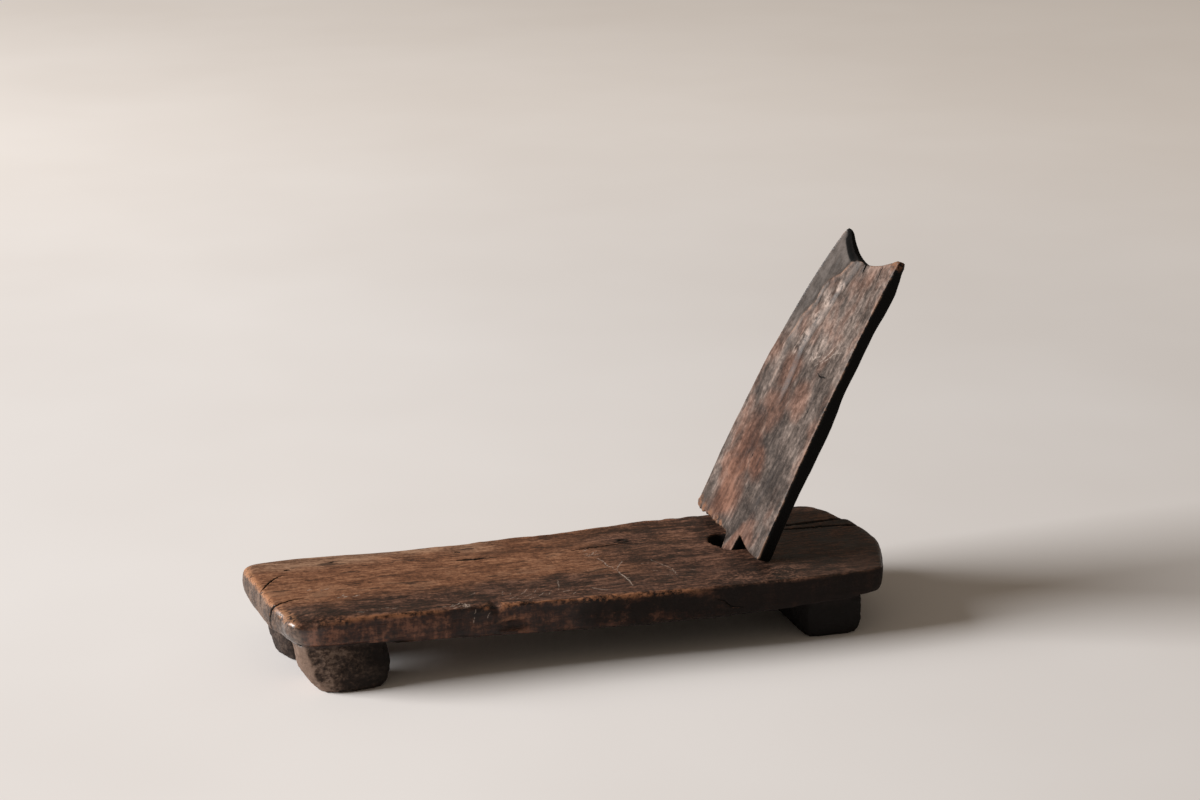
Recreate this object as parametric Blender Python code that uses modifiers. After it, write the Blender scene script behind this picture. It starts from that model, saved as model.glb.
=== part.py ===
"""A two-piece carved lounge chair: a long seat plank on feet cut from the same log,
and a loose back board whose tongue drops through a hole near the plank's rear end.

Metres, +Z up, +X towards the rear of the seat, +Y towards the sitter's right.
"""
import math

import bmesh
import bpy
from mathutils import Euler, Vector
from mathutils.bvhtree import BVHTree

CHAIR = "carved_lounge_chair"

# Seat plank: its plan, seen from above.
SEAT_LENGTH = 0.958
SEAT_FRONT_WIDTH = 0.274
SEAT_REAR_WIDTH = 0.318
FLARE_START = 0.306
FLARE_END = 0.726
REAR_ROUNDING = 0.046
REAR_DRAW_IN = 0.012
FRONT_ROUNDING = 0.010
FRONT_DRAW_IN = 0.016
FRONT_SKEW = 0.016

# Seat plank: its side, seen along Y.
FRONT_HEIGHT = 0.118
REAR_HEIGHT = 0.104
SEAT_SAG = 0.006
FRONT_LIP = 0.013
FRONT_THICKNESS = 0.035
MIDDLE_THICKNESS = 0.051
REAR_THICKNESS = 0.037
SPAN_STATIONS = 5

# Feet, carved from the same log as the plank.
FRONT_FOOT_SETBACK = 0.018
FRONT_FOOT_LENGTH = 0.152
LEFT_FOOT_RAKE = 0.028
LEFT_FOOT_INSET = 0.004
LEFT_FOOT_WIDTH = 0.086
LEFT_FOOT_SPLAY = 0.012
RIGHT_FOOT_INSET = 0.032
RIGHT_FOOT_WIDTH = 0.118
RIGHT_FOOT_RAKE = 0.014
RIGHT_FOOT_BATTER = 0.024
REAR_FOOT_OVERHANG = 0.070
REAR_FOOT_LENGTH = 0.096
REAR_FOOT_INSET = 0.012
FOOT_NECK = 0.008
FRONT_FOOT_ROUNDING = 0.016
FRONT_FOOT_DRAW_IN = 0.011
REAR_FOOT_ROUNDING = 0.012
REAR_FOOT_DRAW_IN = 0.008
SOLE_TRIM = 0.004

# Back board, measured along its own length from the shoulders up.
BOARD_LENGTH = 0.500
SHOULDER_THICKNESS = 0.025
MIDDLE_BOARD_THICKNESS = 0.021
HORN_THICKNESS = 0.0245
HORN_TIP_THICKNESS = 0.012
LEFT_SHOULDER = 0.081
RIGHT_SHOULDER = 0.124
SHOULDER_BEVEL = 0.004
RIGHT_SHOULDER_DROP = 0.003
BELLY_SWELL = 0.017
HORN_HEIGHT = 0.064
HORN_BASE_WIDTH = 0.212
HORN_BASE_ASIDE = 0.0055
LEFT_HORN_FLARE = 0.006
RIGHT_HORN_DRAW_IN = 0.022
NOTCH_DEPTH = 0.040
NOTCH_SHARES = (0.0, 0.50, 0.86, 1.0, 0.80, 0.0)
BOARD_DISH = 0.004
BOARD_BOW = 0.004

# Tongue of the back board, below the shoulders.
TONGUE_WIDTH = 0.047
TONGUE_NECK = 0.020
TONGUE_LENGTH = 0.066
TONGUE_TIP_WIDTH = 0.031
TONGUE_TIP_ASIDE = -0.005
ROOT_NOTCH_WIDTH = 0.026
ROOT_NOTCH_HEIGHT = 0.013

# How the back board stands in the seat.
BOARD_LEAN = math.radians(26.3)
BOARD_ROLL = math.radians(3.2)
BOARD_TWIST = math.radians(2.4)
TONGUE_FROM_REAR = 0.229
TONGUE_ASIDE = 0.022
SEATING_GAP = 0.0003

# Hole for the tongue.
HOLE_LEFT_PLAY = 0.007
HOLE_RIGHT_PLAY = 0.006
HOLE_LEAN_IN = 0.006
HOLE_CORNER = 0.014
HOLE_CORNER_STEPS = 4
ROUND_PROFILE = 0.5
TONGUE_CLEARANCE = 0.0004

# Mouth of the hole, worn to an oval funnel. It reaches past the tongue on the right.
MOUTH_LENGTH = 0.060
MOUTH_WIDTH = 0.073
MOUTH_DEPTH = 0.034
MOUTH_FLOOR_SHARE = 0.60
MOUTH_BEHIND = 0.006
MOUTH_ASIDE = 0.012
MOUTH_REAR_EDGE = 0.0005
MOUTH_SIDES = 32

# Sharpness of the worn edges, from 0 (round) to 1 (square).
ARRIS = 0.36
FRONT_ARRIS = 0.24
UPRIGHT = 0.10
FRONT_FOOT_UPRIGHT = 0.25
REAR_FOOT_UPRIGHT = 0.43
BOARD_EDGE = 0.43
BOARD_CORNER = 0.40

# Finishes: colour, roughness.
SEAT_WOOD = ((0.115, 0.060, 0.034, 1.0), 0.55)
BOARD_WOOD = ((0.155, 0.092, 0.066, 1.0), 0.60)

SMOOTHING = 2
SQUARE = math.radians(35)
CUTTER_MARGIN = 0.05
UP = Vector((0, 0, 1))


def lerp(a, b, t):
    return a + (b - a) * t


def smooth_step(low, high, value):
    """Goes from 0 to 1 between two places, level at both."""
    t = min(max((value - low) / (high - low), 0.0), 1.0)
    return t * t * (3 - 2 * t)


def rear_foot_front():
    return SEAT_LENGTH - REAR_FOOT_OVERHANG - REAR_FOOT_LENGTH


def rear_foot_back():
    return SEAT_LENGTH - REAR_FOOT_OVERHANG


def front_foot_front():
    return FRONT_FOOT_SETBACK


def front_foot_back():
    return FRONT_FOOT_SETBACK + FRONT_FOOT_LENGTH


def half_width(x):
    """Half the plank's width: even at the front, then flaring to the rear."""
    return lerp(SEAT_FRONT_WIDTH, SEAT_REAR_WIDTH, smooth_step(FLARE_START, FLARE_END, x)) / 2


def top_z(x):
    """Height of the seat: a straight fall from front to rear, with a sag between."""
    t = x / SEAT_LENGTH
    return lerp(FRONT_HEIGHT, REAR_HEIGHT, t) - SEAT_SAG * 4 * t * (1 - t)


def bottom_z(x, y=0.0):
    """Height of the underside: thickest in the middle of the span, with a lip under the front end
    that dies out towards the left edge."""
    t = x / SEAT_LENGTH
    belly = MIDDLE_THICKNESS - (FRONT_THICKNESS + REAR_THICKNESS) / 2
    lip = FRONT_LIP * smooth_step(-half_width(x), 0.0, y) * (1 - smooth_step(0.0, FLARE_START, x))
    return top_z(x) - lerp(FRONT_THICKNESS, REAR_THICKNESS, t) - belly * math.sin(math.pi * t) - lip


def stations():
    """Places along the plank: its ends, the feet's faces, and an even run between the feet."""
    span = [lerp(front_foot_back(), rear_foot_front(), k / SPAN_STATIONS) for k in range(SPAN_STATIONS + 1)]
    return [0.0, front_foot_front()] + span + [rear_foot_back(), SEAT_LENGTH]


def columns(x):
    """Places across the plank: its sides and the sides of the feet under it."""
    w = half_width(x)
    toward_rear = smooth_step(front_foot_back(), rear_foot_front(), x)
    left_inset = lerp(LEFT_FOOT_INSET, REAR_FOOT_INSET, toward_rear)
    right_inset = lerp(RIGHT_FOOT_INSET, REAR_FOOT_INSET, toward_rear)
    return [
        -w,
        -w + left_inset,
        -w + left_inset + LEFT_FOOT_WIDTH,
        w - right_inset - RIGHT_FOOT_WIDTH,
        w - right_inset,
        w,
    ]


def in_plan(x, y):
    """Where a station and a column meet: both ends are round and drawn in at their corners,
    and the front runs a little further forward on the right."""
    across = y / half_width(x)
    skew = FRONT_SKEW * max(across, 0.0) * max(1 - x / front_foot_back(), 0.0)
    if x <= 0.0:
        return FRONT_ROUNDING * across ** 2 - skew, y - FRONT_DRAW_IN * across
    if x >= SEAT_LENGTH:
        return x - REAR_ROUNDING * across ** 2, y - REAR_DRAW_IN * across
    return x - skew, y


def new_object(bm, name, collection, parent):
    """Closes a bmesh into a named object of a collection, under the chair's empty."""
    bmesh.ops.recalc_face_normals(bm, faces=bm.faces)
    mesh = bpy.data.meshes.new(name)
    bm.to_mesh(mesh)
    bm.free()
    mesh.shade_smooth()
    made = bpy.data.objects.new(name, mesh)
    collection.objects.link(made)
    made.parent = parent
    return made


def wood(name, finish):
    """A Principled BSDF of one wood's colour and roughness."""
    colour, roughness = finish
    made = bpy.data.materials.new(name)
    made.use_nodes = True
    shader = made.node_tree.nodes["Principled BSDF"]
    shader.inputs["Base Color"].default_value = colour
    shader.inputs["Roughness"].default_value = roughness
    shader.inputs["Metallic"].default_value = 0.0
    made.diffuse_color = colour
    return made


def sheet(bm, cells_x, cells_y):
    """A flat grid of quads, with each vertex under its column and row."""
    made = bmesh.ops.create_grid(bm, x_segments=cells_x, y_segments=cells_y, size=1.0)
    return {
        (round((v.co.x + 1) * cells_x / 2), round((v.co.y + 1) * cells_y / 2)): v
        for v in made["verts"]
    }


def extrude(bm, faces, place):
    """Extrudes a patch, puts each new vertex where place() says, and returns the patch's new faces."""
    made = bmesh.ops.extrude_face_region(bm, geom=faces)["geom"]
    for item in made:
        if isinstance(item, bmesh.types.BMVert):
            item.co = place(item.co)
    return [item for item in made if isinstance(item, bmesh.types.BMFace)]


def draw_out(bm, faces, place):
    """Extrudes a patch of a closed body, and takes away the old patch, which would be left inside."""
    made = extrude(bm, faces, place)
    bmesh.ops.delete(bm, geom=faces, context="FACES")
    return made


def crease_edges(bm, sharpness):
    """Keeps each square edge as sharp as sharpness(edge) says, so that smoothing wears it evenly."""
    bmesh.ops.recalc_face_normals(bm, faces=bm.faces)
    layer = bm.edges.layers.float.new("crease_edge")
    for edge in bm.edges:
        if edge.calc_face_angle() > SQUARE:
            edge[layer] = sharpness(edge)


def smooth_form(made):
    """Rounds a coarse cage into a worn, hand-cut form."""
    rounding = made.modifiers.new("worn_form", "SUBSURF")
    rounding.levels = SMOOTHING
    rounding.render_levels = SMOOTHING


def cut(made, cutter, name):
    """Takes a cutter's shape out of an object."""
    cutter.display_type = "WIRE"
    cutter.hide_render = True
    taken = made.modifiers.new(name, "BOOLEAN")
    taken.operation = "DIFFERENCE"
    taken.solver = "EXACT"
    taken.object = cutter


def foot_patch(under, x0, x1, first, last):
    """The faces of the underside between two stations and two columns."""
    y0, y1 = columns((x0 + x1) / 2)[first], columns((x0 + x1) / 2)[last]
    centres = [(f, f.calc_center_median()) for f in under]
    return [f for f, c in centres if x0 < c.x < x1 and y0 < c.y < y1]


def carve_foot(bm, patch, rake, left_splay, right_batter, rounding, draw_in):
    """Draws one foot down out of its patch of the underside: a short neck, a block with a raked front,
    a splayed left side and a battered right side, and a rounded sole."""
    corners = [v.co for f in patch for v in f.verts]
    middle_x = (min(c.x for c in corners) + max(c.x for c in corners)) / 2
    left, right = min(c.y for c in corners), max(c.y for c in corners)
    sole_share = rounding / bottom_z(middle_x)

    def step(share, level, inward):
        def place(co):
            x = co.x + rake * share + inward if co.x < middle_x else co.x - inward
            side = smooth_step(left, right, co.y)
            lean = lerp(left_splay, right_batter, side) * share
            y = co.y + inward * (1 - 2 * side) - lean
            return Vector((x, y, level))
        return place

    neck_share = FOOT_NECK / bottom_z(middle_x)
    neck = draw_out(bm, patch, step(neck_share, bottom_z(middle_x) - FOOT_NECK, 0.0))
    block = draw_out(bm, neck, step(1 - neck_share - sole_share, rounding, 0.0))
    draw_out(bm, block, step(sole_share, -SOLE_TRIM, draw_in))


def seat_edge(edge):
    """The plank's corners and the feet's uprights are rounder than its top and bottom edges."""
    a, b = edge.verts
    upright = abs(a.co.z - b.co.z) > (a.co.xy - b.co.xy).length
    if not edge.is_convex:
        return 0.0
    if upright and max(a.co.z, b.co.z) > REAR_HEIGHT - SEAT_SAG:
        return UPRIGHT
    if upright:
        return FRONT_FOOT_UPRIGHT if a.co.x < rear_foot_front() - FOOT_NECK else REAR_FOOT_UPRIGHT
    return FRONT_ARRIS if max(a.co.x, b.co.x) < front_foot_front() else ARRIS


def seat_plank(collection, parent):
    """The plank as a sheet of stations and columns, thickened, with its feet drawn out of the underside."""
    bm = bmesh.new()
    along = stations()
    grid = sheet(bm, len(along) - 1, len(columns(0.0)) - 1)
    for (i, j), v in grid.items():
        x, y = in_plan(along[i], columns(along[i])[j])
        v.co = (x, y, top_z(x))
    under = extrude(bm, bm.faces[:], lambda co: Vector((co.x, co.y, bottom_z(co.x, co.y))))
    front, rear = (front_foot_front(), front_foot_back()), (rear_foot_front(), rear_foot_back())
    left_foot = foot_patch(under, *front, 1, 2)
    right_foot = foot_patch(under, *front, 3, 4)
    rear_foot = foot_patch(under, *rear, 1, 4)
    front_sole = (FRONT_FOOT_ROUNDING, FRONT_FOOT_DRAW_IN)
    rear_sole = (REAR_FOOT_ROUNDING, REAR_FOOT_DRAW_IN)
    carve_foot(bm, left_foot, LEFT_FOOT_RAKE, LEFT_FOOT_SPLAY, 0.0, *front_sole)
    carve_foot(bm, right_foot, RIGHT_FOOT_RAKE, 0.0, RIGHT_FOOT_BATTER, *front_sole)
    carve_foot(bm, rear_foot, 0.0, 0.0, 0.0, *rear_sole)
    crease_edges(bm, seat_edge)
    seat = new_object(bm, "seat_plank", collection, parent)
    seat.data.materials.append(wood("seat_wood", SEAT_WOOD))
    smooth_form(seat)
    return seat


def floor_cutter(collection, parent):
    """A slab just under the floor, which cuts the soles flat."""
    bm = bmesh.new()
    bmesh.ops.create_cube(bm, size=1.0)
    size = Vector((SEAT_LENGTH, SEAT_REAR_WIDTH, 0)) + Vector((1, 1, 1)) * 2 * CUTTER_MARGIN
    bmesh.ops.scale(bm, vec=size, verts=bm.verts)
    bmesh.ops.translate(bm, vec=(SEAT_LENGTH / 2, 0, -CUTTER_MARGIN), verts=bm.verts)
    return new_object(bm, "floor_cutter", collection, parent)


def surface(made, matrix):
    """A search tree over an object's finished surface."""
    graph = bpy.context.evaluated_depsgraph_get()
    shape = made.evaluated_get(graph)
    mesh = shape.to_mesh()
    corners = [matrix @ v.co for v in mesh.vertices]
    tree = BVHTree.FromPolygons(corners, [p.vertices[:] for p in mesh.polygons])
    shape.to_mesh_clear()
    return tree


def tongue_root():
    """The middle of the tongue's front face, level with the seat."""
    x = SEAT_LENGTH - TONGUE_FROM_REAR
    return Vector((x, TONGUE_ASIDE, top_z(x)))


def board_turn():
    """The back board's lean, roll and twist: its own Z runs along the board and the tongue."""
    return Euler((BOARD_ROLL, BOARD_LEAN, BOARD_TWIST), "XYZ")


def hole_reach(seat):
    """The hole's ends, measured from the tongue's root, and its lower and upper levels: the tongue leans
    across it, and bears on its upper rear edge and on its lower front edge."""
    root = tongue_root()
    plank = surface(seat, seat.matrix_basis)
    turn = Euler((0, 0, BOARD_TWIST)).to_matrix()
    across = SHOULDER_THICKNESS / math.cos(BOARD_LEAN)
    play = TONGUE_CLEARANCE / math.cos(BOARD_LEAN)
    slope = math.tan(BOARD_LEAN)
    above = root + turn @ Vector((across, 0, CUTTER_MARGIN))
    upper = plank.ray_cast(above, -UP)[0].z
    below = root + turn @ Vector((-slope * MIDDLE_THICKNESS, 0, -root.z))
    lower = plank.ray_cast(below, UP)[0].z
    back = (upper - root.z) * slope + across + play
    front = (lower - root.z) * slope - play
    return front, back, lower, upper


def stand_in_hole(made, ahead, aside, level):
    """Puts a cutter at its place from the tongue's root, turned with the board."""
    made.location = tongue_root() + Euler((0, 0, BOARD_TWIST)).to_matrix() @ Vector((ahead, aside, 0))
    made.location.z = level
    made.rotation_euler = (0, 0, BOARD_TWIST)


def hole_cutter(reach, collection, parent):
    """The tongue's hole, down through the plank: its front wall leans back and is rounded at the corners."""
    front, back, lower, upper = reach
    width = TONGUE_WIDTH + HOLE_LEFT_PLAY + HOLE_RIGHT_PLAY
    depth = upper - lower
    bm = bmesh.new()
    bmesh.ops.create_cube(bm, size=1.0)
    bmesh.ops.scale(bm, vec=(back - front, width, depth + 2 * CUTTER_MARGIN), verts=bm.verts)
    front_uprights = [e for e in bm.edges if e.verts[0].co.xy == e.verts[1].co.xy and e.verts[0].co.x < 0]
    bmesh.ops.bevel(bm, geom=front_uprights, offset=HOLE_CORNER, segments=HOLE_CORNER_STEPS,
                     profile=ROUND_PROFILE, affect="EDGES")
    for v in bm.verts:
        if v.co.x < 0:
            v.co.x += HOLE_LEAN_IN * (v.co.z + depth / 2) / depth
    made = new_object(bm, "hole_cutter", collection, parent)
    aside = (HOLE_RIGHT_PLAY - HOLE_LEFT_PLAY) / 2
    stand_in_hole(made, (back + front) / 2, aside, (upper + lower) / 2)
    return made


def mouth_cutter(reach, collection, parent):
    """The hole's worn mouth: an oval funnel, full size at the seat's top, that leaves the upper rear edge."""
    front, back, lower, upper = reach
    bm = bmesh.new()
    bmesh.ops.create_cone(bm, cap_ends=True, segments=MOUTH_SIDES, radius1=MOUTH_FLOOR_SHARE,
                          radius2=2 - MOUTH_FLOOR_SHARE, depth=2 * MOUTH_DEPTH)
    bmesh.ops.scale(bm, vec=(MOUTH_LENGTH / 2, MOUTH_WIDTH / 2, 1), verts=bm.verts)
    for v in bm.verts:
        v.co.x = min(v.co.x, back - MOUTH_BEHIND - MOUTH_REAR_EDGE)
    made = new_object(bm, "mouth_cutter", collection, parent)
    stand_in_hole(made, MOUTH_BEHIND, MOUTH_ASIDE, upper)
    return made


def board_sides(u):
    """The board's left and right outline at a height: the right edge swells between the shoulder
    and the horns, the left horn flares out and the right one is drawn in."""
    left_foot = -TONGUE_WIDTH / 2 - LEFT_SHOULDER
    right_foot = TONGUE_WIDTH / 2 + RIGHT_SHOULDER
    middle = (left_foot + right_foot) / 2 + HORN_BASE_ASIDE
    base = BOARD_LENGTH - HORN_HEIGHT
    t = min(u / base, 1.0)
    tip = max(u - base, 0.0) / HORN_HEIGHT
    left = lerp(left_foot, middle - HORN_BASE_WIDTH / 2, t) - LEFT_HORN_FLARE * tip
    right = lerp(right_foot, middle + HORN_BASE_WIDTH / 2, t) - RIGHT_HORN_DRAW_IN * tip
    return left, right + BELLY_SWELL * math.sin(math.pi * t)


def board_front(u, y):
    """How far the front face lies behind the tongue's plane: bowed along the board, hollow across it."""
    left, right = board_sides(u)
    across = (2 * y - left - right) / (right - left)
    along = u / BOARD_LENGTH
    hollow = BOARD_DISH * (1 - across ** 2) * smooth_step(0.0, BOARD_LENGTH / 3, u)
    return hollow - BOARD_BOW * 4 * along * (1 - along)


def board_thickness(u):
    """Even along the tongue, thinnest in the middle of the board, fuller under the horns,
    and thin again at their tips."""
    middle, base = BOARD_LENGTH / 2, BOARD_LENGTH - HORN_HEIGHT
    if u > base:
        return lerp(HORN_THICKNESS, HORN_TIP_THICKNESS, (u - base) / HORN_HEIGHT)
    upper = lerp(MIDDLE_BOARD_THICKNESS, HORN_THICKNESS, smooth_step(middle, base, u))
    return lerp(SHOULDER_THICKNESS, upper, smooth_step(0.0, middle, u))


def board_edge(edge):
    """The board's long edges are crisper than the corners of its outline."""
    a, b = edge.verts
    through = abs(a.co.x - b.co.x) > HORN_TIP_THICKNESS / 2
    return BOARD_CORNER if through else BOARD_EDGE


def back_board(collection, parent):
    """The board as a sheet of rows and columns, with its tongue drawn down and its top hollowed,
    then thickened."""
    base = BOARD_LENGTH - HORN_HEIGHT
    rows = [0.0, TONGUE_NECK, base / 3, base * 2 / 3, base, BOARD_LENGTH]
    cells = len(NOTCH_SHARES) - 1
    bm = bmesh.new()
    grid = sheet(bm, cells, len(rows) - 1)
    for (j, i), v in grid.items():
        u = rows[i]
        left, right = board_sides(u)
        t = u / BOARD_LENGTH
        near_tongue = lerp(-TONGUE_WIDTH / 2, lerp(left, right, 2 / cells), t)
        far_tongue = lerp(TONGUE_WIDTH / 2, lerp(left, right, 3 / cells), t)
        places = [left, (left + near_tongue) / 2, near_tongue, far_tongue, (far_tongue + right) / 2, right]
        if i == len(rows) - 1:
            u -= NOTCH_DEPTH * NOTCH_SHARES[j]
        if i == 0:
            places[1] = near_tongue - ROOT_NOTCH_WIDTH
            u = [0.0, 0.0, ROOT_NOTCH_HEIGHT, 0.0, -RIGHT_SHOULDER_DROP, -RIGHT_SHOULDER_DROP][j]
        v.co = (board_front(u, places[j]), places[j], u)
    root = [grid[2, 0], grid[3, 0]]
    for drop, width in ((TONGUE_NECK, TONGUE_TIP_WIDTH), (TONGUE_LENGTH, TONGUE_TIP_WIDTH)):
        edge = bm.edges.get(root)
        made = bmesh.ops.extrude_edge_only(bm, edges=[edge])["geom"]
        root = [item for item in made if isinstance(item, bmesh.types.BMVert)]
        for v in root:
            v.co = (0, TONGUE_TIP_ASIDE + math.copysign(width / 2, v.co.y), -drop)
    foot = [v.co.copy() for (j, i), v in grid.items() if i == 0]

    def back_face(co):
        return co + Vector((board_thickness(co.z), 0, SHOULDER_BEVEL if co in foot else 0.0))

    extrude(bm, bm.faces[:], back_face)
    crease_edges(bm, board_edge)
    board = new_object(bm, "back_board", collection, parent)
    board.data.materials.append(wood("board_wood", BOARD_WOOD))
    smooth_form(board)
    return board


def set_down(board, seat):
    """Lowers the board along its tongue until a shoulder rests on the seat, less the seating gap."""
    slide = board_turn().to_matrix() @ UP
    clear = slide * BOARD_LENGTH
    board.location = tongue_root() + clear
    board.rotation_euler = board_turn()
    bpy.context.view_layer.update()
    plank = surface(seat, seat.matrix_basis)
    graph = bpy.context.evaluated_depsgraph_get()
    shape = board.evaluated_get(graph)
    mesh = shape.to_mesh()
    falls = []
    for v in mesh.vertices:
        fall = plank.ray_cast(board.matrix_basis @ v.co, -slide)[3]
        if fall is not None:
            falls.append(fall)
    shape.to_mesh_clear()
    board.location -= slide * (min(falls) - SEATING_GAP)


def centre(parent, pieces):
    """Moves the chair so that its origin is under the middle of its box, on the floor."""
    bpy.context.view_layer.update()
    graph = bpy.context.evaluated_depsgraph_get()
    corners = []
    for piece in pieces:
        shape = piece.evaluated_get(graph)
        mesh = shape.to_mesh()
        corners += [piece.matrix_world @ v.co for v in mesh.vertices]
        shape.to_mesh_clear()
    low = Vector([min(c[k] for c in corners) for k in range(3)])
    high = Vector([max(c[k] for c in corners) for k in range(3)])
    parent.location = (-(low.x + high.x) / 2, -(low.y + high.y) / 2, -low.z)
    bpy.context.view_layer.update()
    print("size", [round(v, 4) for v in high - low])


def main():
    for old in list(bpy.data.objects):
        bpy.data.objects.remove(old, do_unlink=True)
    parts = bpy.data.collections.new(CHAIR)
    cutters = bpy.data.collections.new("cutters")
    for collection in (parts, cutters):
        bpy.context.scene.collection.children.link(collection)
    chair = bpy.data.objects.new("chair_origin", None)
    parts.objects.link(chair)
    seat = seat_plank(parts, chair)
    bpy.context.view_layer.update()
    reach = hole_reach(seat)
    cut(seat, floor_cutter(cutters, chair), "flat_soles")
    cut(seat, hole_cutter(reach, cutters, chair), "tongue_hole")
    cut(seat, mouth_cutter(reach, cutters, chair), "worn_mouth")
    board = back_board(parts, chair)
    set_down(board, seat)
    centre(chair, [seat, board])


main()
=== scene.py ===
# %% [markdown]
# # A carved lounge chair of two planks
#
# The chair is two pieces of dark hardwood. The seat is a long plank with its feet cut from the same
# log, and the back is a loose board whose tongue drops through a hole in the seat. Both were cut with
# an adze and then worn by years of use. This lesson starts from the measured solids and gives them
# that surface: tool marks, cracks, chipped and polished edges, and two wood finishes.

# %% Load the measured solids
import math
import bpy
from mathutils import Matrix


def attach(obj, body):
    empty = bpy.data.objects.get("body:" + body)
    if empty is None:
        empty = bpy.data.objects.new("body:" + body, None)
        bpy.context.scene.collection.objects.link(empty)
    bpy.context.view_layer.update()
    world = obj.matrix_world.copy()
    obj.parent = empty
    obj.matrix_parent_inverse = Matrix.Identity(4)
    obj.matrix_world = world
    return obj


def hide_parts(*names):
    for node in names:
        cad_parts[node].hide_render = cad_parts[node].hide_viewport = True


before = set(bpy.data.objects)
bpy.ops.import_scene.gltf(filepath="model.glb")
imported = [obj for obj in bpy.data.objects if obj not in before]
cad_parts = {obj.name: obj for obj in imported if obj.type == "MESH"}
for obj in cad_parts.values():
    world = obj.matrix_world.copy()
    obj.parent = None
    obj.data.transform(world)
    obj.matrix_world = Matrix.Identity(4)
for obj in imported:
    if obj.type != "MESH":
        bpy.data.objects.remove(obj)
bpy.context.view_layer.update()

from types import SimpleNamespace

import bpy
import numpy as np
from mathutils import Euler, Vector
from mathutils.bvhtree import BVHTree
from mathutils.kdtree import KDTree

# %% [markdown]
# ## The camera
#
# A long lens stands well back from the chair, looks down a little and sees the left side and the
# front end. The place is given in metres from the middle of the chair, and the two turns are what a
# tripod head would show: how far round to the right, and how far down.

# %% Set up the camera
LENS_MM = 85.0
SENSOR_MM = 36.0
CAMERA_PLACE = (-1.191, -3.8153, 1.5685)
PAN_RIGHT = math.radians(17.87)
TILT_DOWN = math.radians(16.83)

bpy.ops.object.select_all(action="DESELECT")
bpy.ops.object.camera_add(location=CAMERA_PLACE, rotation=(math.pi / 2 - TILT_DOWN, 0, -PAN_RIGHT))
camera = bpy.context.object
camera.data.lens = LENS_MM
camera.data.sensor_width = SENSOR_MM
bpy.context.scene.camera = camera
view_across = 2 * math.degrees(math.atan(SENSOR_MM / 2 / LENS_MM))
print("camera:", round(view_across, 1), "degrees across")

# %% [markdown]
# ## Floor and light
#
# The chair stands on a plain pale matt floor. One broad soft lamp far to the left does the work of a
# window: it rakes along the seat, so every dent shows, and it leaves the near side in shade. A dim,
# even sky fills the shadows. The lamp's light fades with distance, so the floor far from the chair
# glows a little, for the camera and reflections only. That keeps the background pale without more
# light on the wood. Towards the lamp the floor is painted darker, or it would burn out to white when
# seen from behind.

# %% Small helpers for shader nodes
def new_finish(name):
    """Starts a material and gives its shader too. The other helpers wire its tree until the next one."""
    global tree
    made = bpy.data.materials.new(name)
    made.use_nodes = True
    tree = made.node_tree
    return made, tree.nodes["Principled BSDF"]


def plug(node, name, value):
    """Sets one input of a node to a value or to another node's socket."""
    if isinstance(value, bpy.types.NodeSocket):
        tree.links.new(value, node.inputs[name])
    else:
        node.inputs[name].default_value = value


def add(kind, inputs=None, **settings):
    """Adds one shader node: settings are its own choices, inputs are values or other nodes' sockets."""
    made = tree.nodes.new("ShaderNode" + kind)
    for name, value in settings.items():
        setattr(made, name, value)
    for name, value in (inputs or {}).items():
        plug(made, name, value)
    return made


def calc(operation, a, b=0.0):
    """One step of arithmetic on two values or sockets."""
    return add("Math", {0: a, 1: b}, operation=operation).outputs[0]


def distance(a, b):
    """How far two places are from each other."""
    return add("VectorMath", {0: a, 1: b}, operation="DISTANCE").outputs["Value"]


def between(value, low, high):
    """0 at one value and 1 at another, with a soft step between them."""
    inputs = {"Value": value, "From Min": low, "From Max": high}
    return add("MapRange", inputs, interpolation_type="SMOOTHSTEP").outputs["Result"]


def remap(value, old, new):
    """Moves a value evenly from one range to another, and stops at the ends."""
    inputs = {"Value": value, "From Min": old[0], "From Max": old[1], "To Min": new[0], "To Max": new[1]}
    return add("MapRange", inputs).outputs["Result"]


def all_of(*masks):
    """Where all of some masks hold."""
    whole = masks[0]
    for mask in masks[1:]:
        whole = calc("MULTIPLY", whole, mask)
    return whole


def painted(ground, *layers):
    """Colours laid over a ground: each layer is a mask, a colour or a socket, and an amount up to 1."""
    for mask, colour, amount in layers:
        if amount < 1:
            mask = calc("MULTIPLY", mask, amount)
        if not isinstance(colour, bpy.types.NodeSocket):
            colour = (*colour, 1)
        ground = add("Mix", {0: mask, 6: ground, 7: colour}, data_type="RGBA").outputs[2]
    return ground


def cloudy(place, scale, detail, roughness):
    """Soft noise from about 0.3 to 0.7, with patches about 1 / scale metres across."""
    inputs = {"Vector": place, "Scale": scale, "Detail": detail, "Roughness": roughness}
    return add("TexNoise", inputs).outputs[0]


def tones(value, stops):
    """A ramp of colours: each stop is a place from 0 to 1 and a colour."""
    made = add("ValToRGB", {"Fac": value})
    ramp = made.color_ramp
    while len(ramp.elements) < len(stops):
        ramp.elements.new(0.5)
    for element, (place, shade) in zip(ramp.elements, stops):
        element.position = place
        element.color = (*shade, 1)
    return made.outputs[0]


# %% Floor
FLOOR_SIZE = 60.0
FLOOR_DROP = 0.0003
FLOOR_CLOUDS = (0.9, 3.0, 0.55)
FLOOR_TONES = [(0.35, (0.85, 0.815, 0.8)), (0.65, (0.89, 0.86, 0.85))]
FLOOR_ROUGHNESS = 0.9
FLOOR_GLOW = (0.1, 0.08, 0.06, 1.0)
GLOW_RANGE = (1.2, 4.5)
LAMP_PLACE = Vector((-9.2, 1.9, 4.6))
POOL_RANGE, POOL_SHADE, POOL_BLACK = (3.4, 9.0), 0.8, (0, 0, 0)

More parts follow.
